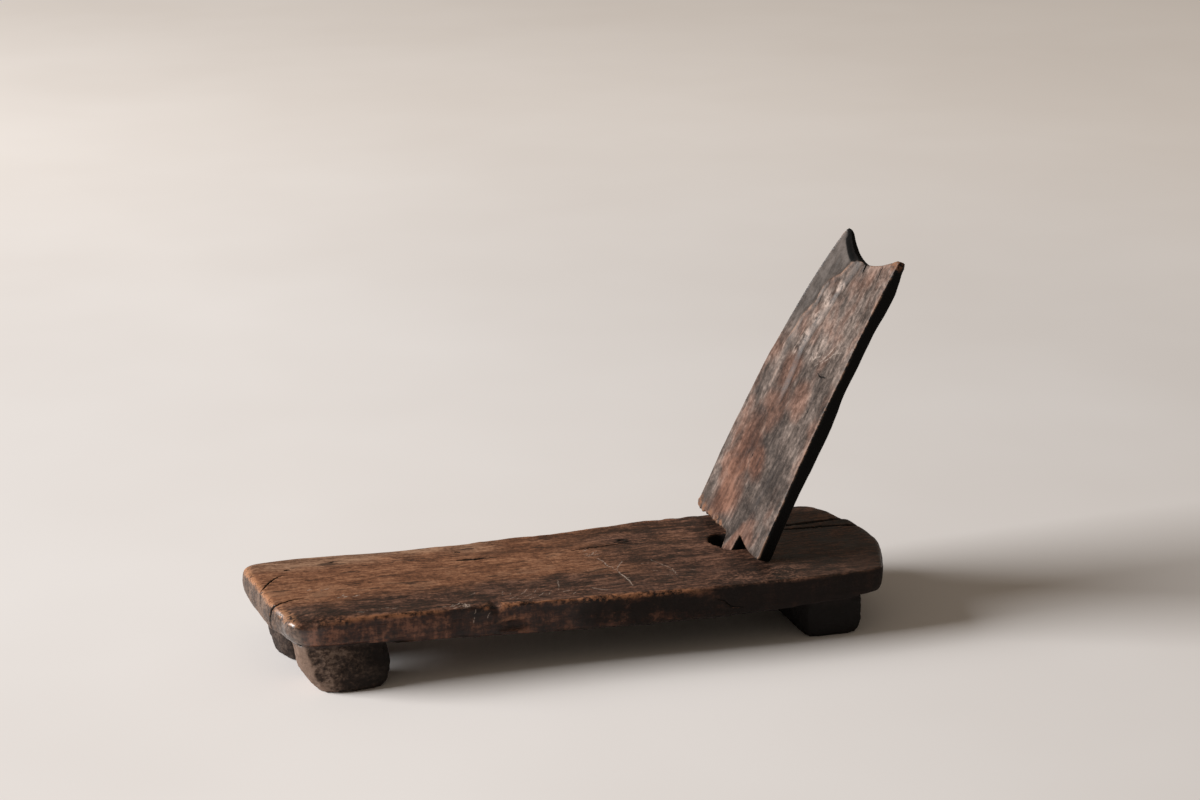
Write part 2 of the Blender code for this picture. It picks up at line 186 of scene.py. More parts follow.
bpy.ops.mesh.primitive_plane_add(size=FLOOR_SIZE, location=(0, 0, 0))
floor = bpy.context.object
floor.name = "studio_floor"
for corner in floor.data.vertices:
    corner.co.z = -FLOOR_DROP
paint, shader = new_finish("floor_paint")
spot_on_floor = add("TexCoord").outputs["Object"]
floor_tone = tones(cloudy(spot_on_floor, *FLOOR_CLOUDS), FLOOR_TONES)
to_lamp = distance(spot_on_floor, (LAMP_PLACE.x, LAMP_PLACE.y, 0))
under_lamp = remap(to_lamp, POOL_RANGE, (POOL_SHADE, 0.0))
plug(shader, "Base Color", painted(floor_tone, (under_lamp, POOL_BLACK, 1)))
plug(shader, "Roughness", FLOOR_ROUGHNESS)
plug(shader, "Specular IOR Level", 0.0)
seen = add("LightPath").outputs
seen_by = calc("MAXIMUM", seen["Is Camera Ray"], seen["Is Glossy Ray"])
seen_by = calc("MAXIMUM", seen_by, seen["Is Transmission Ray"])
far_off = between(distance(spot_on_floor, (0, 0, 0)), *GLOW_RANGE)
plug(shader, "Emission Color", FLOOR_GLOW)
plug(shader, "Emission Strength", all_of(seen_by, far_off))
floor.data.materials.append(paint)
print("floor", FLOOR_SIZE, "m across,", FLOOR_DROP * 1000, "mm below the feet")

# %% Lamp and sky
LAMP_SIZE = (5.8, 4.4)
LAMP_WATTS = 1710.0
LAMP_COLOUR = (1.0, 0.995, 0.985)
SKY_COLOUR = (1.0, 0.84, 0.67, 1.0)
SKY_STRENGTH = 0.19

bpy.ops.object.light_add(type="AREA", location=LAMP_PLACE)
lamp = bpy.context.object
lamp.name = "window_lamp"
lamp.rotation_euler = (-LAMP_PLACE).to_track_quat("-Z", "Y").to_euler()
lamp.data.shape = "RECTANGLE"
lamp.data.size, lamp.data.size_y = LAMP_SIZE
lamp.data.energy = LAMP_WATTS
lamp.data.color = LAMP_COLOUR

sky = bpy.data.worlds.new("studio_sky")
sky.use_nodes = True
sky.node_tree.nodes["Background"].inputs["Color"].default_value = SKY_COLOUR
sky.node_tree.nodes["Background"].inputs["Strength"].default_value = SKY_STRENGTH
bpy.context.scene.world = sky
bpy.context.scene.view_settings.view_transform = "Standard"
print("lamp", LAMP_WATTS, "W at", [round(v, 1) for v in LAMP_PLACE], "sky", SKY_STRENGTH)

# %% [markdown]
# ## A skin that can be sculpted
#
# The measured solids are long, uneven triangles, which can't take a dent. So each one is copied, its
# loose triangles are merged, and a voxel remesh wraps it in an even net of small quads, like the clay
# of a sculpting session. A light smoothing takes out the voxels' steps. The copy stays where the
# solid is, so nothing has to be fitted.

# %% Copy a solid and wrap it in small quads
MERGE = 0.00001
RELAX_FACTOR = 0.5
SEAT_SKIN, SEAT_RELAX = 0.0033, 2
BOARD_SKIN, BOARD_RELAX = 0.002, 4


def pick(piece):
    """Deselects everything, then selects one object and makes it the active one."""
    bpy.ops.object.select_all(action="DESELECT")
    piece.select_set(True)
    bpy.context.view_layer.objects.active = piece


def enter(mode):
    """Switches to edit mode or back to object mode."""
    bpy.ops.object.mode_set(mode=mode)


def fine_copy(node, name, voxel, relax_steps):
    """A copy of a solid with its triangles merged and an even skin of small quads."""
    piece = bpy.data.objects.new(name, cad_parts[node].data.copy())
    piece.data.name = name
    piece.data.materials.clear()
    bpy.context.scene.collection.objects.link(piece)
    pick(piece)
    enter("EDIT")
    bpy.ops.mesh.select_all(action="SELECT")
    bpy.ops.mesh.remove_doubles(threshold=MERGE)
    enter("OBJECT")
    skin = piece.modifiers.new("even_skin", "REMESH")
    skin.mode = "VOXEL"
    skin.voxel_size = voxel
    bpy.ops.object.modifier_apply(modifier=skin.name)
    relax = piece.modifiers.new("relax", "SMOOTH")
    relax.factor = RELAX_FACTOR
    relax.iterations = relax_steps
    bpy.ops.object.modifier_apply(modifier=relax.name)
    bpy.ops.object.shade_smooth()
    return piece


seat = fine_copy("seat_plank", "carved_seat", SEAT_SKIN, SEAT_RELAX)
board = fine_copy("back_board", "carved_back", BOARD_SKIN, BOARD_RELAX)
print("seat quads", len(seat.data.polygons), "board quads", len(board.data.polygons))

# %% [markdown]
# ## Rulers for the skin
#
# Sculpting by hand goes by eye; sculpting in code needs to know where each vertex is, which way it
# faces and how sharp the skin is there. These helpers read and write all the vertices at once as
# rows of numbers. The board leans, so it also gets rulers of its own: through it, across it towards
# the sitter's right, and along it.

# %% Read and write vertices in rows
BOARD_FOOT = Vector((0.25426, 0.01501, 0.11424))
BOARD_TURN = Euler((math.radians(3.2), math.radians(26.3), math.radians(2.4)))
board_axes = np.array(BOARD_TURN.to_matrix())
through, across, along = (Vector(board_axes[:, k]) for k in range(3))


def rows_of(values, name):
    """Three numbers for each vertex, as rows."""
    flat = np.empty(len(values) * 3)
    values.foreach_get(name, flat)
    return flat.reshape(-1, 3)


def points_of(piece):
    """All vertex places as rows."""
    return rows_of(piece.data.vertices, "co")


def normals_of(piece):
    """All vertex normals as rows."""
    return rows_of(piece.data.vertex_normals, "vector")


def move_points(piece, places):
    """Puts every vertex at its row's place."""
    piece.data.vertices.foreach_set("co", np.ascontiguousarray(places).ravel())
    piece.data.update()


def smoothed(piece, rounds):
    """Where each vertex would be if the skin were rubbed down evenly. The skin itself stays."""
    ends = np.empty(len(piece.data.edges) * 2, int)
    piece.data.edges.foreach_get("vertices", ends)
    a, b = ends.reshape(-1, 2).T
    places = points_of(piece)
    number = len(places)
    count = np.bincount(a, minlength=number) + np.bincount(b, minlength=number)
    for _ in range(rounds):
        for k in range(3):
            total = np.bincount(a, places[b, k], number) + np.bincount(b, places[a, k], number)
            places[:, k] = total / count
    return places


def span(value, low, high):
    """0 at one value and 1 at another, with a soft step between them."""
    t = np.clip((value - low) / (high - low), 0.0, 1.0)
    return t * t * (3 - 2 * t)


def on_board(places):
    """World places in the board's own rulers."""
    return (places - np.array(BOARD_FOOT)) @ board_axes


def store(piece, name, amounts):
    """Keeps one number for each vertex, for the finish to read."""
    made = piece.data.attributes.new(name, "FLOAT", "POINT")
    made.data.foreach_set("value", np.asarray(amounts, np.float32))


def tell_change(piece, start):
    """Prints how far a piece's skin has moved since its start."""
    print(piece.name, "moved by up to", round(float(np.abs(points_of(piece) - start).max() * 1000), 1), "mm")


print("board's rulers:", [[round(v, 3) for v in axis] for axis in (through, across, along)])

# %% [markdown]
# ## Crisp edges and a split rear end
#
# The solids' edges are evenly round, while the real plank's edges are crisp where the adze turned
# them. Taking the smoothed skin away from the real one leaves only the edges, and adding some of that
# back makes them crisper, as a sharpening filter does in a picture. Taking some away instead rounds
# the front corners, which hands and feet have rubbed down. At the rear the end flares out towards its
# top, and the plank has split along the grain: the part beyond the crack has shrunk and sunk a little.

# %% Sharpen and rub down the edges
CRISP_ROUNDS = 8
KEEP_CLEAR = (0.002, 0.012)
SEAT_CRISP, LEDGE_CRISP, BOARD_CRISP = 0.9, 1.1, 0.8
PLANK_Z = (0.055, 0.075)
CRISP_FROM_X, CRISP_UNTIL_X = (-0.26, -0.08), (0.32, 0.2)
SOFT_FRONT, SOFT_ROUNDS = -0.7, 9
SOFT_Z, SOFT_X = (0.072, 0.088), (-0.14, -0.3)
SOFT_CORNERS = [(-0.47, -0.13, 130), (-0.478, 0.118, 16)]
SOFT_CORNER, CORNER_Z, CORNER_REACH = -0.95, (0.066, 0.078), (0.085, 0.025)
LEDGE_FROM_Z, LEDGE_UNTIL_Z, LEDGE_X = (0.046, 0.056), (0.082, 0.072), (-0.25, -0.29)
LEDGE_OFF_CORNER = (0.035, 0.065)


def sharpen(piece, amount, where, rounds=CRISP_ROUNDS):
    """Pushes edges out by how far they stand above the smoothed skin. A negative amount rubs them down."""
    places = points_of(piece)
    proud = places - smoothed(piece, rounds)
    move_points(piece, places + proud * (amount * where)[:, None])


def clear_of(piece, node, gap):
    """0 where a piece's skin comes near the other solid, and 1 where it is well away from it."""
    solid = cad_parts[node].data
    tree = BVHTree.FromPolygons([v.co for v in solid.vertices], [p.vertices for p in solid.polygons])
    gaps = np.array([tree.find_nearest(p)[3] for p in points_of(piece).tolist()])
    return span(gaps, *gap)


seat_free = clear_of(seat, "back_board", KEEP_CLEAR)
board_free = clear_of(board, "seat_plank", KEEP_CLEAR)
seat_rest = points_of(seat)
x, y, z = seat_rest.T
plank = seat_free * span(z, *PLANK_Z)
crisp = span(x, *CRISP_FROM_X) * span(x, *CRISP_UNTIL_X)
sharpen(seat, SEAT_CRISP, plank * crisp)
upper = seat_free * span(z, *SOFT_Z)
sharpen(seat, SOFT_FRONT, upper * span(x, *SOFT_X), SOFT_ROUNDS)
ledge = span(z, *LEDGE_FROM_Z) * span(z, *LEDGE_UNTIL_Z) * span(x, *LEDGE_X)
for corner_x, corner_y, rounds in SOFT_CORNERS:
    away = np.hypot(x - corner_x, y - corner_y)
    sharpen(seat, SOFT_CORNER, span(z, *CORNER_Z) * span(away, *CORNER_REACH), rounds)
    ledge = ledge * span(away, *LEDGE_OFF_CORNER)
sharpen(seat, LEDGE_CRISP, ledge)
sharpen(board, BOARD_CRISP, board_free)
tell_change(seat, seat_rest)

# %% Flare the rear end and set the split back
SPLIT_Y, SPLIT_FADE_Y, SPLIT_X = (0.059, 0.066), (0.115, 0.068), (0.385, 0.47)
SPLIT_BACK, SPLIT_DROP = 0.002, 0.0006
LIP_RISE, LIP_Y = 0.0016, (0.035, 0.058)
REAR_X, REAR_Z = (0.33, 0.44), (0.06, 0.09)
REAR_FLARE, FLARE_LEAST = 0.011, 0.25
FLARE_X, FLARE_Y, FLARE_Z = (0.34, 0.44), (-0.1, 0.03), (0.065, 0.092)

places = points_of(seat)
x, y, z = places.T
split = span(y, *SPLIT_Y) * span(y, *SPLIT_FADE_Y)
places[:, 0] -= SPLIT_BACK * split * span(x, *SPLIT_X)
flare_share = FLARE_LEAST + (1 - FLARE_LEAST) * span(y, *FLARE_Y)
places[:, 0] += REAR_FLARE * span(x, *FLARE_X) * flare_share * span(z, *FLARE_Z)
rear_top = span(x, *REAR_X) * span(z, *REAR_Z)
places[:, 2] += rear_top * (LIP_RISE * span(y, *LIP_Y) * (y < SPLIT_Y[0]) - SPLIT_DROP * split)
move_points(seat, places)
print("rear end flared by", REAR_FLARE * 1000, "mm, split set back by", SPLIT_BACK * 1000, "mm")

# %% [markdown]
# ## Tool marks
#
# An adze leaves shallow dished cuts with a ridge between each two. A Displace modifier with a Voronoi
# texture gives just that: low in the middle of each cell and high where cells meet. Broad clouds add
# the unevenness of a hand-cut plank, and clouds stretched along the grain add its long soft furrows.
# Each texture is measured with a ruler, an empty that is long along the grain, and each acts through
# a vertex group, so the seat's top stays smooth while its sides and feet are rough. Nothing is
# carved where the two pieces touch.

# %% Press a texture into a piece
def clouds(name, size, octaves):
    """A soft, cloudy texture."""
    made = bpy.data.textures.new(name, "CLOUDS")
    made.noise_scale = size
    made.noise_depth = octaves
    return made


def scallops(name, size):
    """Dished cells with a ridge between each two."""
    made = bpy.data.textures.new(name, "VORONOI")
    made.noise_scale = size
    made.distance_metric = "DISTANCE_SQUARED"
    return made


def press(piece, texture, depth, where, stretch=(1, 1, 1), foot=(0, 0, 0), turn=(0, 0, 0)):
    """Pushes a piece's skin in and out by a texture, as much as where says at each vertex."""
    group = piece.vertex_groups.new(name=texture.name)
    for index in np.flatnonzero(where > 0.001).tolist():
        group.add([index], float(where[index]), "REPLACE")
    bpy.ops.object.select_all(action="DESELECT")
    bpy.ops.object.empty_add(location=foot, rotation=turn)
    ruler = bpy.context.object
    ruler.scale = stretch
    bpy.context.view_layer.update()
    pick(piece)
    carve = piece.modifiers.new(texture.name, "DISPLACE")
    carve.texture = texture
    carve.texture_coords = "OBJECT"
    carve.texture_coords_object = ruler
    carve.vertex_group = texture.name
    carve.strength = depth
    carve.mid_level = 0.5
    bpy.ops.object.modifier_apply(modifier=carve.name)
    piece.vertex_groups.clear()
    bpy.data.objects.remove(ruler)


# %% Cut the seat
ALONG_SEAT = (9, 1, 1)
UPWARD, TOP_Z, FEET_Z = (0.5, 0.85), 0.085, (0.066, 0.05)
SEAT_EDGE, TOP_EDGE_Z = (0.0006, 0.0018), (0.075, 0.09)
NEAR_Y, CHIPS_LEAST = (-0.08, -0.11), 0.25
CHIPS_FROM_X, CHIPS_UNTIL_X = (-0.26, -0.12), (0.24, 0.14)
ADZE_FADE, ADZE_FADE_Z = 0.55, (0.06, 0.075)

seat_start = points_of(seat)
facing = normals_of(seat)
x, y, z = seat_start.T
on_top = span(facing[:, 2], *UPWARD) * (z > TOP_Z)
rough = (1 - on_top) * seat_free
on_feet = span(z, *FEET_Z) * seat_free
edge = span(np.linalg.norm(seat_start - smoothed(seat, CRISP_ROUNDS), axis=1), *SEAT_EDGE)
top_edge = edge * span(z, *TOP_EDGE_Z) * seat_free
chips = CHIPS_LEAST + (1 - CHIPS_LEAST) * span(x, *CHIPS_FROM_X) * span(x, *CHIPS_UNTIL_X)

# Each line gives a texture with the size of its forms, how deep it goes, and where.
press(seat, clouds("hand_cut", 0.1, 1), 0.0036, seat_free, stretch=(1.7, 1, 1))
press(seat, scallops("adze_cuts", 0.026), 0.0024, rough * (1 - ADZE_FADE * span(z, *ADZE_FADE_Z)))
press(seat, clouds("furrows", 0.013, 2), 0.0012, seat_free * (0.4 + 0.6 * rough), stretch=ALONG_SEAT)
press(seat, scallops("foot_cuts", 0.013), 0.0012, on_feet)
press(seat, clouds("foot_pits", 0.0055, 1), 0.002, on_feet)
press(seat, clouds("edge_wear", 0.034, 2), 0.0044, top_edge)
press(seat, clouds("edge_chips", 0.012, 1), 0.0022, top_edge * (span(y, *NEAR_Y) * chips))
tell_change(seat, seat_start)

# %% Step the front feet in, dent the left side, keep the soles flat
SOLE = 0.0006
STEP_IN, STEP_UNTIL_Z, STEP_FROM_Z = 0.005, (0.077, 0.07), (0.03, 0.058)
DENTS = [((-0.139, -0.146, 0.073), (0.03, 0.02, 0.013), 0.007),
         ((-0.165, -0.142, 0.108), (0.011, 0.02, 0.018), 0.005)]

places, normals = points_of(seat), normals_of(seat)
step_in = STEP_IN * span(z, *STEP_UNTIL_Z) * span(z, *STEP_FROM_Z) * span(x, *LEDGE_X)
places[:, :2] -= normals[:, :2] * step_in[:, None]
for middle, reach, depth in DENTS:
    off = (((seat_start - middle) / reach) ** 2).sum(1)
    places -= normals * (depth * np.clip(1 - off, 0, 1) ** 1.5)[:, None]
standing = seat_start[:, 2] < SOLE
places[standing] = seat_start[standing]
places[:, 2] = np.maximum(places[:, 2], 0.0)
move_points(seat, places)
print("feet stepped in,", len(DENTS), "dents,", int(standing.sum()), "sole vertices left flat")

# %% [markdown]
# ## The board's carving
#
# The board's face was dressed with long strokes along its grain, and its upper right side was scooped
# out smooth: a ridge runs down from the neck notch and dies out half way. A groove follows it on its
# left. The board's foot and one horn tip have lost splinters. The scoop and the groove are drawn as
# lines on the board's own rulers, and the face is pushed in beside them. The back swells a little at
# two heights, and the far horn's inner edge is cut back at a slant.

# %% Dress the board's faces
FACE_ON, BOARD_EDGE = (0.45, 0.8), (0.0004, 0.0012)
SHOULDER_U, SHOULDER_B = (0.016, 0.008), (0.036, 0.05)
TIP_U, TIP_B = (0.47, 0.48), (-0.045, -0.06)

own = {"foot": BOARD_FOOT, "turn": BOARD_TURN}
board_start = points_of(board)
t, b, u = on_board(board_start).T
facing = normals_of(board) @ board_axes[:, 0]
on_front = span(-facing, *FACE_ON)
on_back = span(facing, *FACE_ON)
edge = span(np.linalg.norm(board_start - smoothed(board, CRISP_ROUNDS), axis=1), *BOARD_EDGE) * board_free
shoulder = edge * span(u, *SHOULDER_U) * span(b, *SHOULDER_B)
horn_tip = edge * span(u, *TIP_U) * span(b, *TIP_B)

press(board, clouds("board_hand_cut", 0.09, 1), 0.0022, board_free, stretch=(1, 1, 1.8), **own)
press(board, clouds("gouge_strokes", 0.03, 1), 0.0028, board_free * on_front, stretch=(1, 1, 4), **own)
press(board, clouds("gouge_ripples", 0.009, 1), 0.0008, board_free * on_front, stretch=(1, 1, 3), **own)
press(board, scallops("back_adze_cuts", 0.032), 0.0026, board_free * on_back, stretch=(1, 1, 1.6), **own)
press(board, clouds("splinters", 0.008, 1), 0.0095, shoulder, **own)
press(board, clouds("tip_splinters", 0.006, 1), 0.0035, horn_tip, **own)
tell_change(board, board_start)

# %% Scoop, groove and swells
MM = 0.001
SCOOP_RIDGE = [(36, 478), (43, 460), (52, 443), (60, 431), (85, 410), (91, 396), (92, 372), (109, 341),
               (110, 321), (122, 278), (128, 240)]
SCOOP_DEPTH, SCOOP_WIDTH, SCOOP_U = 0.0036, 0.014, (0.25, 0.33)
RIDGE_RISE, RIDGE_HALF = 0.002, 0.006
GROOVE = [(24, 462), (27, 447), (40, 413), (48, 376), (62, 332), (65, 301), (58, 268), (55, 238), (52, 200)]
GROOVE_DEPTH, GROOVE_HALF, GROOVE_U = 0.0036, 0.012, (0.19, 0.25)
SWELLS = [(0.44, 0.065, 0.004), (0.205, 0.08, 0.0036)]
SWELL_T, SWELL_B = (0.003, 0.016), (0.02, -0.05)


def line_gap(a, b, corners):
    """How far each place (a, b) is from a line through given corners, and on which side (1 or -1)."""
    best = np.full(len(a), np.inf)
    side = np.zeros(len(a))
    for (a0, b0), (a1, b1) in zip(corners[:-1], corners[1:]):
        da, db = a1 - a0, b1 - b0
        t = np.clip(((a - a0) * da + (b - b0) * db) / (da * da + db * db), 0.0, 1.0)
        ga, gb = a - a0 - t * da, b - b0 - t * db
        gap = np.hypot(ga, gb)
        side = np.where(gap < best, np.sign(da * gb - db * ga), side)
        best = np.minimum(best, gap)
    return best, side


gap, side = line_gap(b, u, np.array(SCOOP_RIDGE) * MM)
beyond = gap * side
low_end = span(u, *SCOOP_U)
sink = SCOOP_DEPTH * span(beyond, 0.0, SCOOP_WIDTH) * low_end
sink -= RIDGE_RISE * span(gap, RIDGE_HALF, 0.0) * low_end
groove_gap, _ = line_gap(b, u, np.array(GROOVE) * MM)
sink += GROOVE_DEPTH * span(groove_gap, GROOVE_HALF, 0.0) * span(u, *GROOVE_U)
move_points(board, points_of(board) + np.outer(sink * on_front, through))
to_back = span(t, *SWELL_T) * span(b, *SWELL_B)
for height, reach, rise in SWELLS:
    swell = rise * to_back * span(np.abs(u - height), reach, 0.0)
    move_points(board, points_of(board) + np.outer(swell, through))
print("scoop", SCOOP_DEPTH * 1000, "mm and groove", GROOVE_DEPTH * 1000, "mm deep,", len(SWELLS), "swells")

# %% Slant the far horn's inner edge
HORN_FROM, HORN_INNER = 0.455, 0.008
EDGEWAYS, INWARD, UPTURNED = 0.5, -0.15, 0.1
HORN_WIDENS, HORN_TIP, TIP_LENGTH, TIP_LEAST = (0.024, 0.062), 0.494, 0.02, 0.1
SLANT_LEAST, SLANT_WIDTH, SLANT_DEPTH = 0.002, 0.01, 0.009
SLANT_FULL = 0.001

normals = normals_of(board) @ board_axes
inner = (np.abs(facing) < EDGEWAYS) & (u > HORN_FROM) & (b > HORN_INNER)
inner &= (normals[:, 1] < INWARD) & (normals[:, 2] > UPTURNED)
inside = KDTree(int(inner.sum()))
for index, place in enumerate(board_start[inner].tolist()):
    inside.insert(place, index)
inside.balance()


def horn_slant(places):
    """How far each place is from the far horn's inner edge, and how wide the slant is there."""
    _, b, u = on_board(places).T
    gaps = np.array([inside.find(place)[2] for place in places.tolist()])
    below_tip = TIP_LEAST + (1 - TIP_LEAST) * span(u, HORN_TIP, HORN_TIP - TIP_LENGTH)
    return gaps, SLANT_LEAST + SLANT_WIDTH * (span(b, *HORN_WIDENS) * below_tip)


gaps, reach = horn_slant(board_start)
slant = span(gaps, reach, SLANT_FULL)
move_points(board, points_of(board) + np.outer(SLANT_DEPTH * slant * on_front, through))
print("slant", SLANT_DEPTH * 1000, "mm deep beside", int(inner.sum()), "edge vertices")

# %% [markdown]
# ## Cracks and scratches
#
# The plank has opened along its grain in a few places, and things dragged over it have left pale
# scratches. Each mark is a short line in millimetres on the face it belongs to. The quads near a line
# are subdivided, and the vertices close to it are pushed in. How near a vertex is to a crack or a
# scratch is kept as an attribute, which the finish reads to darken or lighten it.

# %% Press lines into a face
LINE_STEP = 4.0
MARK_RIM = 0.0028
SOFT_RIM = 1.5
TAPER_LEAST, TAPER_SHARE = 0.45, 0.35


def walk(corners, waver, chance):
    """A line in metres through given corners in millimetres, in even steps that waver a little."""
    corners = np.array(corners, float)
    run = np.concatenate([[0.0], np.cumsum(np.linalg.norm(np.diff(corners, axis=0), axis=1))])
    ways = np.linspace(0.0, run[-1], max(int(run[-1] / LINE_STEP), 3))
    line = np.stack([np.interp(ways, run, corners[:, k]) for k in (0, 1)], 1)
    return (line + chance.normal(0, waver, line.shape)) * MM


def rulers_on(piece, face):
    """Two rulers along one face of a piece, and which vertices belong to that face."""
    x, y, z = points_of(piece).T
    normals = normals_of(piece)
    if face == "top":
        return x, y, (normals[:, 2] > 0.3) & (z > 0.08)
    if face == "side":
        return x, z, normals[:, 1] < -0.4
    if face == "end":
        return y, z, (normals[:, 0] < -0.4) & (x < -0.4)
    _, b, u = on_board(points_of(piece)).T
    return b, u, normals @ board_axes[:, 0] < -0.4


def mark_gaps(piece, marks):
    """For each mark: every vertex's gap from it (inf on other faces), half its width, depth and kind."""
    chance = np.random.default_rng(11)
    for face, width, depth, kind, waver, corners in marks:
        a, b, facing = rulers_on(piece, face)
        line = walk(corners, waver, chance)
        reach = width * MM + MARK_RIM
        low, high = line.min(0) - reach, line.max(0) + reach
        near = (a > low[0]) & (a < high[0]) & (b > low[1]) & (b < high[1]) & facing
        gaps = np.full(len(a), np.inf)
        gaps[near] = line_gap(a[near], b[near], line)[0]
        (a0, b0), (a1, b1) = line[0], line[-1]
        from_end = np.minimum(np.hypot(a - a0, b - b0), np.hypot(a - a1, b - b1))
        tapered = TAPER_SHARE * np.linalg.norm(line[-1] - line[0])
        taper = TAPER_LEAST + (1 - TAPER_LEAST) * span(from_end, 0.0, tapered)
        yield gaps, width * MM / 2 * taper, depth * MM * taper, kind


def press_marks(piece, marks):
    """Subdivides the skin round the marks, pushes them in, and keeps each kind as an attribute."""
    near = np.zeros(len(piece.data.vertices), bool)
    for gaps, half, _, _ in mark_gaps(piece, marks):
        near |= gaps < half + MARK_RIM
    corners = np.array([p.vertices for p in piece.data.polygons])
    pick(piece)
    enter("EDIT")
    bpy.ops.mesh.select_mode(type="FACE")
    bpy.ops.mesh.select_all(action="DESELECT")
    enter("OBJECT")
    piece.data.polygons.foreach_set("select", near[corners].any(1))
    enter("EDIT")
    bpy.ops.mesh.subdivide(number_cuts=2)
    enter("OBJECT")
    places, normals = points_of(piece), normals_of(piece)
    sink = np.zeros(len(places))
    nearness = {kind: np.zeros(len(places)) for kind in ("crack", "scratch")}
    for gaps, half, depth, kind in mark_gaps(piece, marks):
        sink = np.maximum(sink, depth * np.clip(1 - gaps / half, 0, 1))
        nearness[kind] = np.maximum(nearness[kind], np.clip(SOFT_RIM - gaps / half, 0, 1))
    move_points(piece, places - normals * sink[:, None])
    for kind, amounts in nearness.items():
        store(piece, kind, amounts)
    print(piece.name, "has", len(marks), "marks and", len(places), "vertices")


# %% The seat's cracks and scratches
# Each mark: its face, width and depth in mm, kind, waver in mm, and its corners in mm on that face.
SEAT_MARKS = [
    # Open cracks on the top, from the front end to the rear.
    ("top", 3.0, 5, "crack", 0.5, [(-484, -10), (-470, 8), (-458, 26), (-444, 43), (-432, 50)]),
    ("top", 3.5, 6, "crack", 0.6, [(-484, -64), (-466, -64), (-455, -60), (-440, -55), (-424, -52)]),
    ("top", 2.6, 4, "crack", 0.8, [(-201, 54), (-175, 53), (-161, 51), (-130, 52), (-104, 51)]),
    ("top", 8, 6, "crack", 0.8, [(-168, 52), (-150, 51), (-124, 52)]),
    ("top", 3.5, 4, "crack", 0.8, [(10, 50), (40, 53), (70, 57), (92, 61), (118, 57)]),
    ("top", 8, 8, "crack", 0.8, [(332, 66), (368, 66), (404, 64), (438, 63), (478, 61)]),
    ("top", 11, 8, "crack", 0.8, [(366, 68), (404, 67), (438, 66), (480, 64)]),
    ("top", 6, 4, "crack", 0.8, [(340, 50), (363, 47), (406, 42), (436, 38), (466, 34)]),
    ("top", 9, 5, "crack", 0.8, [(444, 37), (458, 35), (478, 33)]),
    # Knots and pits on the top.
    ("top", 7, 3, "crack", 1.0, [(92, 75), (98, 79), (106, 74)]),
    ("top", 4.5, 3, "crack", 0.5, [(-427, 70), (-422, 71)]),
    ("top", 4.5, 3, "crack", 0.5, [(-161, 91), (-156, 90)]),
    ("top", 4, 2, "crack", 0.5, [(-353, 90), (-349, 91)]),
    ("top", 5, 2, "crack", 1.0, [(84, 70), (90, 66), (100, 68), (112, 70)]),
    # Down the front end, and on the left side with its hollow.
    ("end", 4.5, 6, "crack", 0.5, [(-64, 120), (-60, 97), (-57, 78)]),
    ("end", 3, 3, "crack", 0.5, [(-7, 118), (-8, 104), (-12, 90)]),
    ("side", 3, 4, "crack", 0.5, [(168, 86), (182, 80), (189, 72), (208, 69)]),
    ("side", 5, 4, "crack", 0.4, [(-449, 73), (-446, 72)]),
    # Pale scratches on the top.
    ("top", 1.8, 0.6, "scratch", 0.9, [(37, 8), (41, -10), (42, -26), (49, -49)]),
    ("top", 1.4, 0.5, "scratch", 0.9, [(51, -44), (58, -32), (70, -14)]),
    ("top", 2.4, 1.2, "scratch", 0.9, [(49, -49), (50, -70), (53, -92), (51, -118)]),
    ("top", 1.1, 0.6, "scratch", 0.3, [(-58, -104), (-53, -88), (-47, -62)]),
    ("top", 1.6, 0.6, "scratch", 0.9, [(-12, -106), (-2, -119), (12, -127)]),
    ("top", 1.0, 0.5, "scratch", 0.8, [(112, -20), (132, -64), (128, -100)]),
]
# Sprays of short nicks: face, middle, spread, lean, length and width in mm, and how many.
NICK_DEPTH, NICK_WAVER, NICK_BEND = 0.5, 0.4, 1.2
SPRAYS = [
    ("top", (-218, -132), (11, 5), (10, 2), 12, 1.3, 9),
    ("top", (-206, -138), (3, 4), (1, 9), 10, 1.3, 9),
    ("top", (-132, -112), (34, 10), (9, 16), 26, 0.7, 7),
    ("top", (-112, -124), (32, 6), (14, 3), 18, 0.8, 7),
    ("top", (-366, -60), (10, 2), (9, 2), 12, 2.0, 6),
    ("top", (-404, -25), (8, 3), (10, 5), 12, 1.5, 3),
    ("top", (-345, -121), (26, 3), (8, 2), 10, 1.2, 6),
    ("top", (31, 24), (7, 11), (7, 9), 14, 1.2, 11),
    ("top", (80, -80), (60, 24), (12, -8), 18, 0.7, 6),
    ("side", (-190, 88), (14, 6), (1, 9), 12, 0.7, 3),
]
spraying = np.random.default_rng(5)
for face, middle, spread, lean, length, width, count in SPRAYS:
    for _ in range(count):
        start = spraying.normal(middle, spread)
        run = spraying.normal(lean, 0.3 * np.abs(lean) + NICK_BEND)
        run *= length / max(np.hypot(*run), 1.0) * spraying.uniform(0.4, 1.0)
        bend = start + run / 2 + spraying.normal(0, NICK_BEND, 2)
        SEAT_MARKS.append((face, width, NICK_DEPTH, "scratch", NICK_WAVER, [start, bend, start + run]))
press_marks(seat, SEAT_MARKS)

